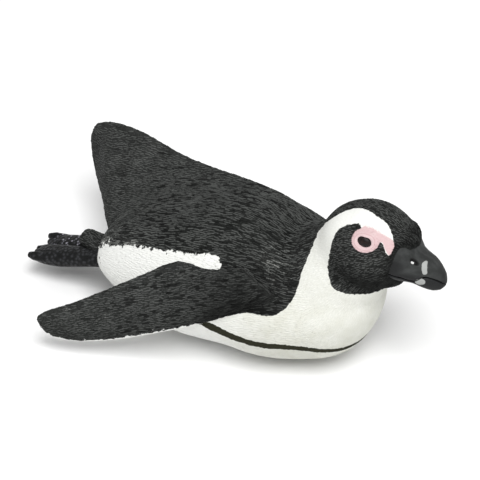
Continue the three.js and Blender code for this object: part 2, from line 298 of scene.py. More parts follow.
markings = {
    # seen from the side of the body: x, z
    "back": [(7.6, 36), (7.7, 32), (7.4, 29), (6.9, 27), (6.9, 24.6), (6.6, 22.4), (5.6, 20.5),
             (3.6, 19.1), (1, 19.3), (-2, 19.3), (-5, 18.2), (-8, 16.7), (-11, 16.4), (-13, 19),
             (-12, 23), (-10.1, 25), (-9.4, 26.6), (-11.2, 27.6), (-14.2, 27), (-19.7, 25.4),
             (-24.6, 24), (-30.2, 22.2), (-36, 19.6), (-40.4, 17.2), (-43.2, 13.6), (-43.4, 10),
             (-43.6, 6), (-50, 2), (-64, 4), (-62, 40), (-30, 46), (0, 44)],
    # seen from the side of the head: x, z in the head's frame
    "mask": [(-1.6, 6.35), (-3.6, 5.6), (-5.1, 4.45), (-5.86, 2.9), (-5.94, 1.3), (-5.78, -0.6),
             (-5.64, -3.7), (-5.25, -5.8), (-3.7, -8.2), (-2.4, -9.2), (0.3, -9.5), (5.4, -9.2),
             (12, -9.2), (17, -4), (16, 8), (10, 12), (7.2, 9.5), (6.75, 4.4), (6.14, 2.4),
             (4.75, 3.7), (3.8, 4.6), (1, 4.6)],
    "pinkPatch": [(-1.6, 6.2), (-0.9, 7.1), (1.4, 7.2), (3.6, 6.7), (5.5, 5.8), (6.3, 4.7),
                  (6.45, 3.8), (6.14, 2.4), (4.75, 3.7), (3.8, 4.6), (1, 3.6)],
    "eyeRing": (0.75, 4.15, 2.84, 2.33),  # middle x, z and half sizes in the head's frame
    "eye": (0.72, 3.98, 1.54, 1.18),
    # crown stripe: half width for each x in the head's frame
    "crown": [(-13, 2.4), (-11, 2.4), (-9.2, 3.5), (-8, 3.75), (-6.3, 3.15), (-4.7, 2.6), (-3.4, 2.7),
              (-1.9, 2.95), (0.7, 3.75), (3.1, 3.9), (4.5, 4.3), (5.5, 4.95), (6.3, 5.6), (7, 9)],
    # stripe along the flanks and round the breast: middle height and half width for each x
    "band": [(-36, 7.5, -0.4), (-33, 8.6, 0.6), (-20, 13, 1.2), (-12, 14.6, 1.3), (-9, 13.5, 1.3),
             (-4.4, 11.9, 1.15), (0, 11, 0.95), (4.8, 10.8, 0.9), (9, 10.6, 0.82), (14, 9.5, 0.85),
             (16.5, 8.8, 0.85), (19, 8.3, 0.8), (22, 8.1, 0.7), (24, 8.2, 0.5)],
    "faceSide": 4,  # an eye's place counts only this far from the head's middle line
    "patchSide": 2,
    "crownEnd": (-6, 3),  # lowest height of the stripe, and how far it reaches down the sides
    "legEdge": [(-42.8, -5, 16.2), (-42.4, -7, 15), (-41, -9, 14)],  # where the leg meets the rump
    "legHalf": 0.6,
    "rumpX": -36,  # the black of the legs and tail is looked for behind here
    "rumpReach": 1.5,
    "flippers": {
        "flipper_right": {"outer": (0.14, -0.97, 0.17), "lowEdge": 0.45},
        "flipper_left": {"outer": (-0.16, -0.78, 0.61), "lowEdge": 2.0},
    },
    "flipperTurn": 0.25,  # how far the black wraps round a flipper's edges
    "solid": 3,  # a distance deep inside the paint
    "outside": -9,  # and one far outside it
    # how ragged the edge of the dark paint is, in millimetres: on the head, elsewhere, more from
    # the right shoulder back, more on the rump and more on the cheek
    "ragged": {"head": 0.26, "other": 0.24, "flank": 0.5, "rump": 0.35, "cheek": 0.25},
    # where the brush ran dry: along the flank's edge, and a thin place over the right shoulder
    "dryEdge": 1.6,
    "paleShoulder": {"at": (1.5, -9, 26.5), "radius": 6.5, "amount": 0.7},
    # painted shade on faces turned down, on the lower shoulder, at the bill's root and low on the cheek
    "shoulderShade": {"at": (-3, -19, 20), "radius": 9, "amount": 0.75},
    "paintedShade": {"down": 0.5, "billRoot": 0.75, "cheek": 0.35, "most": 0.75},
    # smooth places: this far from the bill, round the eyes and up from the floor
    "bare": {"bill": 0.25, "fade": 0.2, "eye": 0.9, "eyeFade": 0.3, "floor": 0.4 * mm},
}
backOutline = smoothOutline(markings["back"])
maskOutline = smoothOutline(markings["mask"], 4)
patchOutline = smoothOutline(markings["pinkPatch"], 4)


def insideOval(oval, x, z):
    midX, midZ, halfX, halfZ = oval
    return (1 - np.hypot((x - midX) / halfX, (z - midZ) / halfZ)) * (halfX + halfZ) / 2


def gapToBill(head, points):
    # how far each point is from the bill in millimetres, or 9 behind the face
    gaps = np.full(len(points), 9.0)
    for i in np.flatnonzero(head[:, 0] > markings["faceSide"]):
        gaps[i] = min(tree.find_nearest(points[i])[3] for tree in billTrees) / mm
    return gaps


def bareness(head, points):
    # 1 where the moulding is smooth: the eyes, under the bill's root and under the belly
    look = markings["bare"]
    x, y, z = head.T
    bare = np.clip((look["bill"] - gapToBill(head, points)) / look["fade"], 0, 1)
    eye = np.clip((insideOval(markings["eye"], x, z) + look["eye"]) / look["eyeFade"], 0, 1)
    eye = eye * (np.abs(y) > markings["faceSide"])
    return np.maximum(np.maximum(bare, eye), points[:, 2] < look["floor"])


def flipperPaint(name, normals, body):
    # the outer side of a flipper is black, and its inner side white
    x, y, z = body.T
    side = markings["flippers"][name]
    outer = np.array(side["outer"])
    facing = normals @ (outer / np.linalg.norm(outer)) + markings["flipperTurn"]
    facing = np.minimum(facing, (normals[:, 2] + side["lowEdge"]) * 1.5)
    shoulder = (x > -14) & (z > 15.5)
    if name == "flipper_left":
        shoulder = ((x > -6) & (z > 20)) | ((normals[:, 2] > -0.1) & ((z > 20) | (x < -20)))
    return np.where(shoulder, 2, facing) * 1.3


def paintDistances(points, normals, nodes):
    # points and normals in the row frame, and the CAD node that each point belongs to
    look = markings
    outside = look["outside"]
    body = inBody(points)
    head = inHead(points)
    x, y, z = body.T
    headX, headY, headZ = head.T
    onTrunk = nodes == "trunk"
    back = insideOutline(backOutline, x, z)
    mask = insideOutline(maskOutline, headX, headZ)
    crownLow, crownReach = look["crownEnd"]
    crownHalf = np.interp(headX, *np.array(look["crown"]).T)
    crown = np.minimum(crownHalf - np.abs(headY), headZ + crownReach)
    onHead = np.isin(nodes, ["head", "neck"])
    crown = np.where(onHead & (headZ > crownLow), crown, outside)
    # the side below the raised flipper is white
    below = onTrunk & (y > 8) & (x < -2)
    back = np.where(below, np.minimum(back, (normals[:, 2] - 0.3) * 5), back)
    mask = np.where(onHead, mask, outside)
    dark = smoothMost(np.maximum(back, mask), crown)
    bandX, bandZ, bandHalf = np.array(look["band"]).T
    band = np.interp(x, bandX, bandHalf) - np.abs(z - np.interp(x, bandX, bandZ))
    band = np.where(onTrunk, band, outside)
    for name in look["flippers"]:
        dark = np.where(nodes == name, flipperPaint(name, normals, body), dark)
    # the black of the legs and tail runs a little way onto the rump
    rear = np.flatnonzero(onTrunk & (x < look["rumpX"]))
    gaps = [min(tree.find_nearest(point)[3] for tree in rearTrees) for point in points[rear]]
    dark[rear] = np.maximum(dark[rear], look["rumpReach"] - np.array(gaps) / mm)
    toLegs, _ = distanceToRoute(body, look["legEdge"])
    dark = np.where(onTrunk, np.maximum(dark, look["legHalf"] - toLegs), dark)
    dark = np.where(nodes == "tail", look["solid"], dark)
    # the bare pink skin, softer towards the white above it
    patch = insideOutline(patchOutline, headX, headZ) - 0.25 * share(headZ, 4.8, 5.6)
    ring = insideOval(look["eyeRing"], headX, headZ)
    soft = share(headZ, 5.2, 6.2) * (ring < 0)
    onFace = (nodes == "head") & (np.abs(headY) > look["patchSide"])
    pink = np.where(onFace, np.maximum(patch, ring), outside)
    eye = np.where(nodes == "head", insideOval(look["eye"], headX, headZ), outside)
    edge = look["ragged"]
    ragged = np.where(nodes == "head", edge["head"], edge["other"]) + edge["flank"] * share(x, -6, -10)
    ragged += edge["rump"] * (x < -38) + edge["cheek"] * ((nodes == "head") & (headZ < 1))
    dry = np.exp(-np.maximum(dark, 0) / look["dryEdge"]) * share(x, -22, -32) * (z > 12)
    pale = look["paleShoulder"]
    fromPale = np.linalg.norm(body - np.array(pale["at"]), axis=1)
    dry = np.maximum(dry, pale["amount"] * bell(fromPale, pale["radius"]))
    # the white turns creamier and darker towards the front and the bottom
    creamy = share(x, -12, 2) * np.interp(headZ, (-18, 6), (1, 0.15))
    # painted shade: darker on faces turned down, the lower shoulder, the bill's root and the cheek
    low = look["shoulderShade"]
    fromLow = np.linalg.norm(body - np.array(low["at"]), axis=1)
    paintedShade = look["paintedShade"]["down"] * share(normals[:, 2], 0.1, -0.6)
    paintedShade += low["amount"] * bell(fromLow, low["radius"])
    paintedShade = np.maximum(paintedShade, look["paintedShade"]["billRoot"] * share(gapToBill(head, points), 1.5, 0.5))
    paintedShade += look["paintedShade"]["cheek"] * (nodes == "head") * share(headZ, -1, -5)
    return {"dark": dark, "band": band, "pink": pink, "eyeEdge": eye, "ragged": ragged,
            "dry": dry, "creamy": creamy, "bare": bareness(head, points), "soft": soft,
            "paintedShade": np.clip(paintedShade, 0, look["paintedShade"]["most"])}


def writeMarkings(mesh, distances):
    for name, values in distances.items():
        writeValues(mesh, name, np.clip(values, markings["outside"], -markings["outside"]))


# Which sub-part of the bird a point belongs to
fleshNodes = ["trunk", "neck", "head", "flipper_right", "flipper_left", "tail"]


def nodeTrees(names):
    trees = {}
    for name in names:
        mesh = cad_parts[name].data
        faces = [tuple(face.vertices) for face in mesh.polygons]
        trees[name] = BVHTree.FromPolygons([v.co for v in mesh.vertices], faces)
    return trees


fleshTrees = nodeTrees(fleshNodes)
rearTrees = list(nodeTrees(["foot_right", "foot_left", "tail"]).values())
billTrees = list(nodeTrees(["bill_upper", "bill_lower"]).values())


def nearestNodes(points):
    spans = []
    for name in fleshNodes:
        tree = fleshTrees[name]
        spans.append([tree.find_nearest(point)[3] for point in points])
    return np.array(fleshNodes)[np.argmin(np.array(spans), 0)]


# Paints
plumagePaint = {
    "black": shade(0.021, 0.0222, 0.021),
    "blackMid": shade(0.043, 0.045, 0.043),
    # dry-brushed paint and painted highlight on the tops of the strokes
    "blackDryBrushAndHighlight": shade(0.112, 0.117, 0.112),
    "speck": shade(0.26, 0.265, 0.25),
    # painted shade in the gaps between the strokes
    "gapShade": shade(0.0025, 0.0027, 0.0025),
    "white": shade(0.79, 0.795, 0.77),
    "cream": shade(0.57, 0.57, 0.505),
    "whiteGapShade": shade(0.53, 0.54, 0.49),
    "band": shade(0.026, 0.026, 0.016),
    "pink": shade(0.575, 0.42, 0.425),
    "pinkPale": shade(0.63, 0.515, 0.51),
    "pinkLine": shade(0.40, 0.23, 0.24),
    "roughness": (0.6, 0.78),
    "sheen": 0.05,  # strength of the paint's mirror reflection
    "bump": 0.05 * mm,
    # size and detail of the noise behind each unevenness of the paint
    "wobble": (900.0, 3.0), "fine": (2600.0, 2.0), "speckle": (3300.0, 3.0), "mottle": (260.0, 3.0),
    "crestDryBrushAndHighlight": (2300.0, 3.0), "cloud": (420.0, 4.0), "blush": (700.0, 3.0), "gloss": (1400.0, 2.0),
    "grain": (3200.0, 2.0), "dimple": (900.0, 2.0),
    "deepCutShade": (0.77, 0.83),  # the strokes with the highest tones get the painted shade of a deep cut
    "gapShadeRamp": (0.02, 0.42),  # painted shade: the gaps between strokes are darkest
}


def makePlumagePaint(name):
    look = plumagePaint
    board = PaintBoard(name)
    wobble = board.noise(*look["wobble"]) - 0.5
    fine = board.noise(*look["fine"]) - 0.5
    speckle = board.noise(*look["speckle"])
    mottle = board.noise(*look["mottle"]) - 0.5
    ragged = board.value("ragged")
    dark = (board.value("dark") + wobble * ragged * 2.4 + fine * 0.16).ramp(-0.06, 0.06)
    band = (board.value("band") + wobble * 0.65 + fine * 0.3).ramp(-0.05, 0.05)
    soft = board.value("soft")
    pink = (board.value("pink") + fine * (soft + 0.3)).ramp(soft * 0.1 - 0.05, soft * 0.9 + 0.12)
    tone = board.value("tone")
    cut = 1 - board.value("bare")
    lift = 1 - (1 - board.value("lift")) * cut
    black = board.blend((speckle + mottle * 0.6).ramp(0.3, 0.72), look["black"], look["blackMid"])
    # the tops of the strokes are lighter, dry-brushed paint and painted highlight, and the paint is worn
    # off a few of them
    crestDryBrushAndHighlight = (board.noise(*look["crestDryBrushAndHighlight"]) + tone * 0.3 + mottle * 0.5).ramp(0.3, 0.75)
    black = board.blend(lift.ramp(0.4, 0.95) * crestDryBrushAndHighlight * 0.75, black, look["blackDryBrushAndHighlight"])
    worn = (speckle * 0.6 + tone * 0.3 + board.value("dry") * 0.4 + mottle * 0.3).ramp(0.68, 0.86)
    black = board.blend(worn * 0.7, black, look["speck"])
    # painted shade: dark dashes on the strokes with the highest tones
    black = board.blend(tone.ramp(*look["deepCutShade"]) * cut * 0.85, black, look["gapShade"])
    # painted shade on faces turned down, the lower shoulder, the bill's root and the cheek
    black = board.blend(board.value("paintedShade"), black, look["gapShade"])
    # painted shade in the gaps between the strokes, dark at the strokes' edges
    black = board.blend(lift.ramp(*look["gapShadeRamp"]), look["gapShade"], black)
    # creamier and darker towards the front and the bottom
    creamy = (board.noise(*look["cloud"]).ramp(0.2, 0.8) * 0.4 + 0.55) * board.value("creamy")
    cream = board.blend(creamy, look["white"], look["cream"])
    # painted shade in the gaps under white paint
    shallow = (1 - lift.ramp(0.0, 0.5)) * (board.value("creamy") * 0.45 + 0.15)
    cream = board.blend(shallow, cream, look["whiteGapShade"])
    rosy = board.blend(board.noise(*look["blush"]).ramp(0.45, 0.8) * 0.6, look["pink"], look["pinkPale"])
    # the lid inside a fine line round the eye is paler
    fromLid = board.value("eyeEdge") + 0.5
    rosy = board.blend(fromLid.ramp(0.0, 0.1) * 0.2, rosy, look["pinkPale"])
    rosy = board.blend((1 - fromLid.size().ramp(0.03, 0.12)) * 0.35, rosy, look["pinkLine"])
    colour = board.blend(dark, cream, black)
    colour = board.blend(band, colour, look["band"])
    colour = board.blend(pink, colour, rosy)
    low, high = look["roughness"]
    roughness = low + board.noise(*look["gloss"]) * (high - low)
    bump = board.noise(*look["grain"]) + board.noise(*look["dimple"]) * 0.5
    return board.finish(colour, roughness, bump, look["bump"], Specular_IOR_Level=look["sheen"])


# One skin over the whole bird, in place of the flesh nodes
skinLook = {
    "swell": 0.2 * mm,  # closes the cuts between the solids before they are fused
    "billInset": 0.35 * mm,
    "voxel": 0.36 * mm,
    "smoothing": 12,
    "coatDepth": 0.16 * mm,
    "lift": {"flippers": 0.3, "body": 0.22},  # how light the painted shade in the gaps between the strokes is
}


def makeSkin():
    look = skinLook
    copies = [copyOfNode(name, look["swell"]) for name in fleshNodes]
    copies += [copyOfNode(name, -look["billInset"]) for name in ("bill_upper", "bill_lower")]
    copies += [copyOfNode(name, look["billInset"]) for name in ("eye_right", "eye_left")]
    skin = joinInto(copies, "skin")
    applyModifier(skin, "REMESH", mode="VOXEL", voxel_size=look["voxel"])
    applyModifier(skin, "SMOOTH", factor=0.5, iterations=look["smoothing"])
    inward = -(look["swell"] + look["coatDepth"])
    applyModifier(skin, "DISPLACE", strength=inward, mid_level=0.0, direction="NORMAL")
    print("skin:", len(skin.data.polygons), "faces")
    return skin


def distanceToRoute(points, route):
    # distance of each point from a line through the route's points, and how far along it is
    nearest = np.full(len(points), np.inf)
    along = np.zeros(len(points))
    for i, (start, end) in enumerate(zip(route[:-1], route[1:])):
        start, span = np.array(start, float), np.array(end, float) - np.array(start, float)
        part = np.clip((points - start) @ span / (span @ span), 0, 1)
        away = np.linalg.norm(points - start - part[:, None] * span, axis=1)
        along = np.where(away < nearest, (i + part) / (len(route) - 1), along)
        nearest = np.minimum(nearest, away)
    return nearest, along


# folds pressed into the moulding: points in the body's millimetres, depth and half width
folds = [
    {"route": [(-11, -20.8, 15.4), (-8, -20.9, 18.6), (-5, -20.4, 21.4), (-1.5, -18.6, 23.6),
               (1.5, -17, 24.4)], "depth": 0.5, "half": 0.8},
    {"route": [(-47, 24.6, 25.4), (-45.3, 23.8, 24.5), (-41.8, 22.1, 22.8),
               (-38.2, 20.2, 21.3)], "depth": 0.35, "half": 0.8},
]
sculpted = {
    "smoothing": 260,  # passes over the seams between the sub-parts
    "wingSeam": 3.2, "throatSeam": 7.5,  # widths of the seams that are eased, in millimetres
    "lidAt": 0.45, "lidHeight": 0.22, "lidHalf": 0.32, "socketDepth": 0.35, "socketEdge": 0.3,
    # edge of the forehead over the bill, in the head's frame, and the brow that swells behind it
    "browLine": [(10.1, 0, 4.0), (9.6, 1.55, 4.6), (9.0, 2.75, 5.0), (7.9, 3.7, 5.5), (7.3, 4.6, 4.4)],
    "browRise": 0.5, "browHalf": 0.9, "browShift": (0.5, 0, -0.7),
    # places where the body is drawn in: middle in the body's frame, depth and radius
    "drawnIn": [((22.5, 0, 16.5), 0.7, 8), ((-11, -15.2, 5.5), 1.2, 6)],
}


def foldShare(places):
    # 1 in the folds between the back and the raised flipper and between breast and neck
    x, y, z = inBody(places).T
    eased = np.zeros(len(places))
    underFlipper = 1.0 * ((x < 4) & (y > 0) & (z > 17))
    throat = share(x, 7, 10) * share(z, 26, 21)
    for name, near, reach in (("flipper_left", underFlipper, sculpted["wingSeam"]),
                              ("neck", throat, sculpted["throatSeam"])):
        for i in np.flatnonzero(near):
            gaps = [fleshTrees[part].find_nearest(places[i])[3] for part in ("trunk", name)]
            eased[i] = max(eased[i], near[i] * (1 - abs(gaps[0] - gaps[1]) / (reach * mm)))
    return np.clip(eased, 0, 1)


def sculptSkin(skin):
    look = sculpted
    mesh = skin.data
    places = readPoints(mesh)
    cheek = share(inHead(places)[:, 0], -3.2, -5.2) * share(inBody(places)[:, 0], 2, 6)
    eased = cheek + foldShare(places)
    group = skin.vertex_groups.new(name="eased")
    for i in np.flatnonzero(eased > 0.05):
        group.add([int(i)], min(float(eased[i]), 1.0), "REPLACE")
    applyModifier(skin, "SMOOTH", factor=0.5, iterations=look["smoothing"], vertex_group="eased")
    places = readPoints(mesh)
    normals = readNormals(mesh)
    body = inBody(places)
    head = inHead(places)
    rise = np.zeros(len(places))
    for fold in folds:
        away, along = distanceToRoute(body, fold["route"])
        fading = np.sin(np.pi * np.clip(along, 0.04, 0.96))
        rise -= fold["depth"] * bell(away, fold["half"]) * fading
    onFace = (np.abs(head[:, 1]) > markings["faceSide"]) & (np.abs(head[:, 0]) < 6)
    eyeEdge = insideOval(markings["eye"], head[:, 0], head[:, 2])
    eyeEdge = np.where(onFace, eyeEdge, markings["outside"])
    rise += look["lidHeight"] * bell(eyeEdge + look["lidAt"], look["lidHalf"])
    rise -= look["socketDepth"] * share(eyeEdge, 0, look["socketEdge"])
    for middle, depth, radius in look["drawnIn"]:
        away = np.linalg.norm(body - np.array(middle), axis=1)
        rise -= depth * bell(away, radius)
    onRight = np.column_stack([head[:, 0], np.abs(head[:, 1]), head[:, 2]]) + look["browShift"]
    away, _ = distanceToRoute(onRight, look["browLine"])
    rise += look["browRise"] * bell(away, look["browHalf"])
    writePoints(mesh, places + normals * rise[:, None] * mm)
    print("skin: folds and lids pressed")


patchSize = 0.003  # of the bake map, for one stroke


def unwrapSkin(skin):
    pickOnly(skin)
    skin.data.uv_layers.new(name="OFBake")
    bpy.ops.object.mode_set(mode="EDIT")
    bpy.ops.mesh.select_all(action="SELECT")
    bpy.ops.uv.smart_project(angle_limit=1.15, island_margin=patchSize, scale_to_bounds=True)
    bpy.ops.object.mode_set(mode="OBJECT")


# The coat: cut feather strokes that lie along the skin
coatLook = {
    # spacing along and across, length, width, height, all in millimetres
    "trunk": (1.25, 0.37, 2.4, 0.58, 0.18),
    "tail": (0.9, 0.4, 1.5, 0.56, 0.1),
    "flipper_right": (1.0, 0.34, 1.9, 0.52, 0.12),
    "flipper_left": (1.1, 0.35, 2.0, 0.54, 0.12),
    "neck": (0.95, 0.38, 1.6, 0.56, 0.09),
    "head": (0.62, 0.3, 1.05, 0.42, 0.09),
    "whiteHeight": 0.42,  # share of the height that strokes under white paint keep
    "sunk": 0.07,  # edges of a stroke below the skin
    "before": 0.4,  # share of a stroke's length that lies before its root
    "sizeSpread": (0.8, 1.2),
    "swing": 7,  # degrees that a stroke turns from the lie of the coat
    "calm": ((-40, -18), (0.82, 1.0)),  # fewer strokes with the painted deep-cut shade towards the flippers' tips: x and share
    "seed": 7,
    "tries": 420000,  # places where a stroke is tried
    "quickTries": 6000,
    "cell": 1.6 * mm,  # of the grid that neighbours are looked up in
}
# the two stations of a stroke: place along it, half width and height as shares
strokeStations = [(0.28, 0.9, 0.7), (0.78, 0.85, 1.0)]
coatPieces = {
    "coat_back": ["trunk", "tail"],
    "coat_belly": ["trunk"],
    "coat_flipper_right": ["flipper_right"],
    "coat_flipper_left": ["flipper_left"],
    "coat_head": ["head", "neck"],
}


def sampleSkin(mesh, count, seed):
    # random places spread evenly over the skin's area
    rng = np.random.default_rng(seed)
    mesh.calc_loop_triangles()
    corners = np.empty(len(mesh.loop_triangles) * 3, np.int32)
    mesh.loop_triangles.foreach_get("vertices", corners)
    owners = np.empty(len(mesh.loop_triangles), np.int32)
    mesh.loop_triangles.foreach_get("polygon_index", owners)
    corners = corners.reshape(-1, 3)
    places = readPoints(mesh)
    normals = readNormals(mesh)
    a, b, c = (places[corners[:, i]] for i in range(3))
    areas = np.linalg.norm(np.cross(b - a, c - a), axis=1) / 2
    chosen = rng.choice(len(corners), count, p=areas / areas.sum())
    first, second = rng.random(count), rng.random(count)
    flip = first + second > 1
    first[flip], second[flip] = 1 - first[flip], 1 - second[flip]
    weights = np.stack([1 - first - second, first, second], 1)
    point = (places[corners[chosen]] * weights[:, :, None]).sum(1)
    normal = (normals[corners[chosen]] * weights[:, :, None]).sum(1)
    normal /= np.linalg.norm(normal, axis=1)[:, None]
    return point, normal, owners[chosen], areas.sum() / mm ** 2


flowLook = {
    "billRoot": (9, 0, 0),  # the head's strokes run away from here, in the head's frame
    "neckStart": (3, 0, 2),
    "down": {"head": 0.3, "trunk": -0.12},  # how much they also turn down
    "flipper_right": (-0.94, -0.21, -0.29),
    "flipper_left": (-1, -0.05, -0.02),
}


def strokeDirections(points, normals, nodes):
    body = inBody(points)
    lie = np.tile([-1.0, 0, 0], (len(points), 1))
    lie[:, 2] = np.where(nodes == "trunk", flowLook["down"]["trunk"], 0)
    billRoot = np.array(fromHead(*flowLook["billRoot"]))
    away = points - billRoot
    away[:, 2] -= flowLook["down"]["head"] * np.linalg.norm(away, axis=1)
    lie = np.where((nodes == "head")[:, None], away, lie)
    neckStart = np.array(fromHead(*flowLook["neckStart"]))
    lie = np.where((nodes == "neck")[:, None], points - neckStart, lie)
    breast = share(body[:, 0], 4, 14)[:, None]
    down = (points - neckStart) / np.linalg.norm(points - neckStart, axis=1)[:, None]
    onTrunk = (nodes == "trunk")[:, None]
    lie = np.where(onTrunk, lie * (1 - breast) + down * breast, lie)
    for name in ("flipper_right", "flipper_left"):
        lie = np.where((nodes == name)[:, None], flowLook[name], lie)
    lie -= (lie * normals).sum(1)[:, None] * normals
    return lie / (np.linalg.norm(lie, axis=1)[:, None] + tiny)


def spreadStrokes(points, lies, sides, spacing):
    # keeps the candidates that leave each other room along and across the lie of the coat
    kept = []
    grid = {}
    keys = np.floor(points / coatLook["cell"]).astype(int)
    neighbours = [(i, j, k) for i in (-1, 0, 1) for j in (-1, 0, 1) for k in (-1, 0, 1)]
    for i in range(len(points)):
        x, y, z = keys[i]
        point, lie, side = points[i], lies[i], sides[i]
        along, across = spacing[i]
        near = [n for a, b, c in neighbours for n in grid.get((x + a, y + b, z + c), ())]
        if near:
            gaps = points[near] - point
            room = ((gaps @ lie) / along) ** 2 + ((gaps @ side) / across) ** 2
            far = np.einsum("ij,ij->i", gaps, gaps) > (2 * along) ** 2
            room += far * 9
            if room.min() < 1:
                continue
        grid.setdefault((x, y, z), []).append(i)
        kept.append(i)
    return np.array(kept)


def placeStrokes(skin):
    look = coatLook
    count = look["tries"]
    points, normals, faces, area = sampleSkin(skin.data, count, look["seed"])
    nodes = nearestNodes(points)
    cut = bareness(inHead(points), points) < 0.5
    points, normals, faces, nodes = points[cut], normals[cut], faces[cut], nodes[cut]
    lies = strokeDirections(points, normals, nodes)
    sides = np.cross(normals, lies)
    spacing = np.array([look[node][:2] for node in nodes]) * mm
    kept = spreadStrokes(points, lies, sides, spacing)
    print("coat:", len(kept), "strokes of", len(points), "tries, skin area", round(area), "mm2")
    return points[kept], normals[kept], lies[kept], sides[kept], faces[kept], nodes[kept]


def strokeForm():
    # points of one stroke: place along and across it, depth in the skin and height over it, all as
    # shares, and the faces between them; every station has a left, ridge, right and keel point
    outline = [(0.0, 0.0, -0.5, 0.0)]
    for along, half, rise in strokeStations:
        outline += [(along, -half, -0.6, 0.0), (along, 0.0, 0.0, rise),
                    (along, half, -0.6, 0.0), (along, 0.0, -2.0, 0.0)]
    outline.append((1.0, 0.0, -0.3, 0.0))
    tip = len(outline) - 1
    starts = range(1, tip, 4)
    shape = []
    for start in starts[:-1]:
        for i in range(4):
            after = (i + 1) % 4
            shape.append((start + i, start + after, start + 4 + after, start + 4 + i))
    shape += [(0, 1 + (i + 1) % 4, 1 + i) for i in range(4)]
    shape += [(tip, starts[-1] + i, starts[-1] + (i + 1) % 4) for i in range(4)]
    return outline, shape


def layStrokes(skin, outline, roots, lies, sides, sizes):
    # every point of every stroke, set on the skin below it
    tree = BVHTree.FromObject(skin, bpy.context.evaluated_depsgraph_get())
    skinNormals = readNormals(skin.data)
    skinFaces = [tuple(face.vertices) for face in skin.data.polygons]
    sunk = coatLook["sunk"] * mm
    spots = np.empty((len(roots), len(outline), 3))
    for index, (along, across, depth, rise) in enumerate(outline):
        flat = (roots + lies * ((along - coatLook["before"]) * sizes[:, 0])[:, None]
                + sides * (across * sizes[:, 1] / 2)[:, None])
        for i in range(len(roots)):
            spot, _, face, _ = tree.find_nearest(flat[i])
            normal = skinNormals[list(skinFaces[face])].mean(0)
            spots[i, index] = np.array(spot) + normal * (depth * sunk + rise * sizes[i, 2])
    print("coat: strokes laid on the skin")
    return spots


def rootsOnMap(skin, faces):
    # the place on the skin's bake map of the face that each stroke is rooted in
    uvs = np.empty(len(skin.data.loops) * 2, np.float32)
    skin.data.uv_layers["OFBake"].uv.foreach_get("vector", uvs)
    firstCorner = np.empty(len(skin.data.polygons), np.int32)
    skin.data.polygons.foreach_get("loop_start", firstCorner)
    return uvs.reshape(-1, 2)[firstCorner[faces]]


def layRoots(mesh, rootPlaces, outline):
    # every stroke is a small patch of the map, at its root's place on the skin's unwrap
    layer = mesh.uv_layers.new(name="OFBake")
    vertex = np.empty(len(mesh.loops), np.int32)
    mesh.loops.foreach_get("vertex_index", vertex)
    local = np.array([(along, 0.5 + across / 2) for along, across, _, _ in outline]) * patchSize
    stroke, corner = vertex // len(outline), vertex % len(outline)
    places = rootPlaces[stroke] + local[corner] - patchSize / 2
    layer.uv.foreach_set("vector", places.astype(np.float32).ravel())


def makeCoat(skin, paint):
    look = coatLook
    rng = np.random.default_rng(look["seed"] + 1)
    roots, normals, lies, sides, faces, nodes = placeStrokes(skin)
    mapPlaces = rootsOnMap(skin, faces)
    isDark = paintDistances(roots, normals, nodes)["dark"] > 0
    count = len(roots)
    sizes = np.array([look[node][2:] for node in nodes]) * mm
    sizes *= rng.uniform(*look["sizeSpread"], (count, 3))
    sizes[:, 2] *= np.where(isDark, 1, look["whiteHeight"])
    swing = np.radians(rng.normal(0, look["swing"], count))
    turned = lies * np.cos(swing)[:, None] + sides * np.sin(swing)[:, None]
    sides = sides * np.cos(swing)[:, None] - lies * np.sin(swing)[:, None]
    outline, shape = strokeForm()
    spots = layStrokes(skin, outline, roots, turned, sides, sizes)
    lifts = np.array([1.0 if rise > 0 else 0.0 for _, _, _, rise in outline])
    calm = np.interp(inBody(roots)[:, 0], *look["calm"])
    tones = rng.random(count) * np.where(np.char.startswith(nodes, "flipper"), calm, 1)
    for name, members in coatPieces.items():
        belongs = np.isin(nodes, members)
        if name == "coat_back":
            belongs &= isDark
        if name == "coat_belly":
            belongs &= ~isDark
        chosen = np.flatnonzero(belongs)
        places = spots[chosen].reshape(-1, 3)
        faceList = [tuple(corner + n * len(outline) for corner in face)
                    for n in range(len(chosen)) for face in shape]
        mesh = bpy.data.meshes.new(name)
        mesh.from_pydata(places.tolist(), [], faceList)
        mesh.update()
        piece = bpy.data.objects.new(name, mesh)
        scene.collection.objects.link(piece)
        owners = np.repeat(chosen, len(outline))
        writeMarkings(mesh, paintDistances(places, normals[owners], nodes[owners]))
        writeValues(mesh, "tone", tones[owners])
        writeValues(mesh, "lift", np.tile(lifts, len(chosen)))
        layRoots(mesh, mapPlaces[chosen], outline)
        shadeSmooth(mesh)
        finishPiece(piece, paint)
        print(name + ":", len(chosen), "strokes,", sum(len(f) - 2 for f in faceList), "triangles")


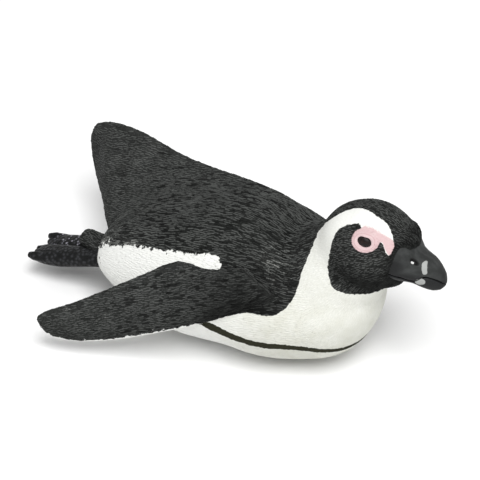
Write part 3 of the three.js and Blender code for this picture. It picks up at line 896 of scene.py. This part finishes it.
# Bill
billPaint = {
    "horn": shade(0.026, 0.0275, 0.027),
    "hornLight": shade(0.046, 0.0485, 0.048),
    "hornShade": shade(0.014, 0.0145, 0.015),
    "hornDark": shade(0.006, 0.006, 0.006),
    "dab": shade(0.33, 0.34, 0.33),
    "glint": shade(0.75, 0.75, 0.75),
    # light dabs of paint and a painted glint by the nostril, in the head's frame: line from, line to,
    # half width (x, z)
    "upperDab": [(12.85, 1.45), (13.5, -0.1), 0.48],
    "lowerDab": [(12.8, -2.7), (13.35, -2.4), 0.74],
    "nostrilGlint": [(10.55, 1.45), (10.85, 1.35), 0.2],
    "nostril": (10.95, 1.55, 1.2, 0.45, -28),  # middle x, z, half sizes and turn in degrees
    # where the horn darkens, in the head's frame: from and to; painted shade at the root by the gape and
    # on the underside, and darker towards the hook
    "rootShade": {"x": (10.4, 8.0), "z": (2.2, 0.7)},
    "hookDarkening": (15.6, 17.2),
    "undersideShade": (-0.8, -1.8),
    "recessShade": 0.75,  # width of the painted shadow line where the horn comes out from under the forehead
    "roughness": (0.42, 0.56),
    "sheen": 0.12,
    "bump": 0.07 * mm,
}
billForm = {
    "voxel": 0.16 * mm, "smoothing": 5,
    "nostrilDepth": 0.55, "nostrilEdge": 0.25,
    "sideFrom": 1,  # marks on the sides keep this far from the middle line
}


def capsule(line, x, z):
    (x0, z0), (x1, z1), half = line
    dx, dz = x1 - x0, z1 - z0
    part = np.clip(((x - x0) * dx + (z - z0) * dz) / (dx * dx + dz * dz), 0, 1)
    return half - np.hypot(x - x0 - part * dx, z - z0 - part * dz)


def insideNostril(x, z):
    midX, midZ, halfX, halfZ, turn = billPaint["nostril"]
    c, s = math.cos(math.radians(turn)), math.sin(math.radians(turn))
    along, across = (x - midX) * c + (z - midZ) * s, (z - midZ) * c - (x - midX) * s
    return (1 - np.hypot(along / halfX, across / halfZ)) * halfZ


def makeBillPaint():
    look = billPaint
    board = PaintBoard("horn_paint")
    streak = board.noise(700.0, 4.0, (0.35, 1, 1))
    horn = board.blend(streak.ramp(0.35, 0.8), look["horn"], look["hornLight"])
    nostril = board.value("nostril").ramp(0.0, 0.2)
    # painted shade at the bill's root and underside, and darker towards the hook
    horn = board.blend(board.value("billShade") * 0.9, horn, look["hornShade"])
    # the nostril, and a painted shadow line under the forehead's edge
    horn = board.blend(nostril.most(board.value("recessShade").ramp(0.1, 0.6)), horn, look["hornDark"])
    fine = board.noise(2400.0, 2.0) - 0.5
    dab = (board.value("dab") + fine * 0.18).ramp(-0.05, 0.07)
    colour = board.blend(dab, horn, look["dab"])
    # painted glint beside the nostril
    colour = board.blend(board.value("glint").ramp(-0.05, 0.06), colour, look["glint"])
    low, high = look["roughness"]
    roughness = low + board.noise(1600.0, 3.0) * (high - low)
    bump = streak + board.noise(2600.0, 3.0) * 0.6
    return board.finish(colour, roughness, bump, look["bump"], Specular_IOR_Level=look["sheen"])


def makeBill(name, paint):
    look = billForm
    bill = joinInto([copyOfNode(name, 0.0)], name + "_horn")
    applyModifier(bill, "REMESH", mode="VOXEL", voxel_size=look["voxel"])
    applyModifier(bill, "SMOOTH", factor=0.5, iterations=look["smoothing"])
    mesh = bill.data
    places = readPoints(mesh)
    normals = readNormals(mesh)
    head = inHead(places)
    x, y, z = head.T
    onSide = np.abs(y) > look["sideFrom"]
    outside = markings["outside"]
    nostril = np.where(onSide, insideNostril(x, z), outside)
    pressed = look["nostrilDepth"] * share(nostril, 0, look["nostrilEdge"]) * mm
    writePoints(mesh, places - normals * pressed[:, None])
    dab = np.maximum(capsule(billPaint["upperDab"], x, z), capsule(billPaint["lowerDab"], x, z))
    rootShade = billPaint["rootShade"]
    # painted shade at the root by the gape and on the underside, and darker towards the hook
    billShade = share(x, *rootShade["x"]) * share(z, *rootShade["z"])
    billShade = np.maximum(billShade, share(x, *billPaint["hookDarkening"]) * 0.7)
    billShade = np.maximum(billShade, share(z, *billPaint["undersideShade"]))
    away, _ = distanceToRoute(np.column_stack([x, np.abs(y), z]), sculpted["browLine"])
    writeValues(mesh, "billShade", billShade)
    # painted shadow under the forehead's edge
    writeValues(mesh, "recessShade", share(away, billPaint["recessShade"], 0))
    writeValues(mesh, "nostril", nostril)
    writeValues(mesh, "dab", np.where(onSide, dab, outside))
    writeValues(mesh, "glint", np.where(onSide, capsule(billPaint["nostrilGlint"], x, z), outside))
    shadeSmooth(mesh)
    print(bill.name + ":", len(mesh.polygons), "faces")
    return finishPiece(bill, paint, [name])


# Eyes
eyeLook = {
    "half": (1.54, 0.75, 1.18),  # along the head, outwards and up, in millimetres
    "out": 7.98,  # middle of the dome from the head's middle line
    "segments": 48, "rings": 24,
    "colour": shade(0.006, 0.004, 0.0035), "glow": shade(0.016, 0.008, 0.006),
    "roughness": 0.42, "sheen": 0.2, "bump": 0.03 * mm,
}


def makeEyePaint():
    look = eyeLook
    board = PaintBoard("eye_paint")
    spots = board.noise(1500.0, 2.0)
    colour = board.blend(spots.ramp(0.4, 0.7), look["colour"], look["glow"])
    bump = board.noise(2500.0, 2.0)
    return board.finish(colour, look["roughness"] + spots * 0.1, bump, look["bump"],
                        Specular_IOR_Level=look["sheen"])


def makeEye(side, paint):
    look = eyeLook
    name = "eye_right" if side < 0 else "eye_left"
    middleX, middleZ = markings["eye"][:2]
    bpy.ops.object.select_all(action="DESELECT")
    bpy.ops.mesh.primitive_uv_sphere_add(segments=look["segments"], ring_count=look["rings"], radius=mm)
    eye = bpy.context.active_object
    eye.name = name + "_dome"
    eye.data.name = eye.name
    halfX, halfY, halfZ = look["half"]
    place = Matrix.Translation(fromHead(middleX, side * look["out"], middleZ)) @ headTurn.to_4x4()
    eye.matrix_world = place @ Matrix.Diagonal((halfX, halfY, halfZ, 1))
    applyPlace(eye)
    bpy.ops.object.shade_smooth()
    return finishPiece(eye, paint, [name])


# Feet
footLook = {
    "dark": shade(0.005, 0.0053, 0.0055), "light": shade(0.030, 0.031, 0.034),
    "scute": shade(0.34, 0.33, 0.38),
    "roughness": 0.34, "sheen": 0.15, "bump": 0.22 * mm,
    "swell": 0.15 * mm, "voxel": 0.24 * mm, "smoothing": 3,
    "scuteSize": 1300.0,  # cells in a metre
    # painted highlight on the scutes on top of the left foot's toes: x of both ends, each fading in
    "scutesFrom": (-50, -51.5), "highlightTo": (-58.5, -57.5),
}


def makeFootPaint():
    look = footLook
    board = PaintBoard("foot_paint")
    values = {"Vector": board.place(), "Scale": look["scuteSize"]}
    scales = board.add("ShaderNodeTexVoronoi", {}, values, "Distance")
    colour = board.blend(scales.ramp(0.1, 0.6), look["light"], look["dark"])
    shine = (1 - scales.ramp(0.18, 0.42)) * board.noise(800.0, 2.0).ramp(0.4, 0.6)
    # painted highlight on the upturned scutes of the left foot
    colour = board.blend(shine * board.value("scutes"), colour, look["scute"])
    roughness = look["roughness"] + board.noise(900.0, 3.0) * 0.25
    return board.finish(colour, roughness, 1 - scales, look["bump"], Specular_IOR_Level=look["sheen"])


def makeFoot(name, paint):
    look = footLook
    foot = joinInto([copyOfNode(name, look["swell"])], name + "_skin")
    applyModifier(foot, "REMESH", mode="VOXEL", voxel_size=look["voxel"])
    applyModifier(foot, "SMOOTH", factor=0.5, iterations=look["smoothing"])
    along = inBody(readPoints(foot.data))[:, 0]
    up = readNormals(foot.data)[:, 2]
    # painted highlight where the left foot's scutes face up
    scutes = share(up, 0.3, 0.6) * share(along, *look["scutesFrom"]) * share(along, *look["highlightTo"])
    writeValues(foot.data, "scutes", scutes * (name == "foot_left"))
    shadeSmooth(foot.data)
    print(foot.name + ":", len(foot.data.polygons), "faces")
    return finishPiece(foot, paint, [name])


# Floor, light and camera
studio = {
    "floorSize": 3.0, "floorRoughness": 0.9,
    "floorColour": shade(0.90, 0.90, 0.90), "floorShade": shade(0.89, 0.89, 0.89),
    "sky": 0.55,
    "lampPlace": (0.31, -0.41, 0.88), "lampSize": 0.5, "lampPower": 9.8,
    "cameraAzimuth": 24, "cameraElevation": 38, "cameraDistance": 0.7,
    # from the body's floor point, in millimetres: the camera stands off from the first point along
    # its angle and is turned to look at the second
    "standsOffFrom": (0, 0, 17), "lookAt": (-11.4, 0.07, 23.0),
    "lens": 247.8,
}


def makeStudio():
    look = studio
    bpy.ops.object.select_all(action="DESELECT")
    bpy.ops.mesh.primitive_plane_add(size=look["floorSize"], location=(0, 0, 0))
    floor = bpy.context.active_object
    floor.name = "floor"
    board = PaintBoard("floor_paper")
    fine = board.noise(4.0, 2.0)
    grey = board.blend(fine.ramp(0.3, 0.7), look["floorColour"], look["floorShade"])
    floor.data.materials.append(board.finish(grey, look["floorRoughness"], Specular_IOR_Level=0.0))
    world = bpy.data.worlds.new("studio_sky")
    scene.world = world
    world.use_nodes = True
    world.node_tree.nodes["Background"].inputs["Color"].default_value = (1, 1, 1, 1)
    world.node_tree.nodes["Background"].inputs["Strength"].default_value = look["sky"]
    lamp = bpy.data.lights.new("softbox", "AREA")
    lamp.shape = "SQUARE"
    lamp.size = look["lampSize"]
    lamp.energy = look["lampPower"]
    box = bpy.data.objects.new("softbox", lamp)
    scene.collection.objects.link(box)
    box.location = look["lampPlace"]
    box.rotation_euler = (-box.location).to_track_quat("-Z", "Y").to_euler()
    azimuth, elevation = math.radians(look["cameraAzimuth"]), math.radians(look["cameraElevation"])
    back = Vector((math.sin(azimuth) * math.cos(elevation),
                   -math.cos(azimuth) * math.cos(elevation), math.sin(elevation)))
    camera = bpy.data.objects.new("camera", bpy.data.cameras.new("camera"))
    scene.collection.objects.link(camera)
    camera.data.lens = look["lens"]
    camera.data.clip_start = 0.01
    camera.location = fromBody(*look["standsOffFrom"]) + back * look["cameraDistance"]
    level = (-back).to_track_quat("-Z", "Y")
    aim = fromBody(*look["lookAt"]) - camera.location
    camera.rotation_euler = ((-back).rotation_difference(aim) @ level).to_euler()
    scene.camera = camera
    scene.view_settings.view_transform = "Standard"


def finishSkin(skin):
    points = readPoints(skin.data)
    nodes = nearestNodes(points)
    writeMarkings(skin.data, paintDistances(points, readNormals(skin.data), nodes))
    lift = skinLook["lift"]
    onFlipper = np.char.startswith(nodes, "flipper")
    writeValues(skin.data, "lift", np.where(onFlipper, lift["flippers"], lift["body"]))
    shadeSmooth(skin.data)
    finishPiece(skin, makePlumagePaint("plumage_skin_paint"), fleshNodes)
    print("skin painted")


makeStudio()
print("studio ready")
skin = makeSkin()
sculptSkin(skin)
unwrapSkin(skin)
print("skin unwrapped")
finishSkin(skin)
makeCoat(skin, makePlumagePaint("plumage_stroke_paint"))
hornPaint = makeBillPaint()
for name in ("bill_upper", "bill_lower"):
    makeBill(name, hornPaint)
eyePaint = makeEyePaint()
for side in (-1, 1):
    makeEye(side, eyePaint)
print("eyes set")
footPaint = makeFootPaint()
for name in ("foot_right", "foot_left"):
    makeFoot(name, footPaint)
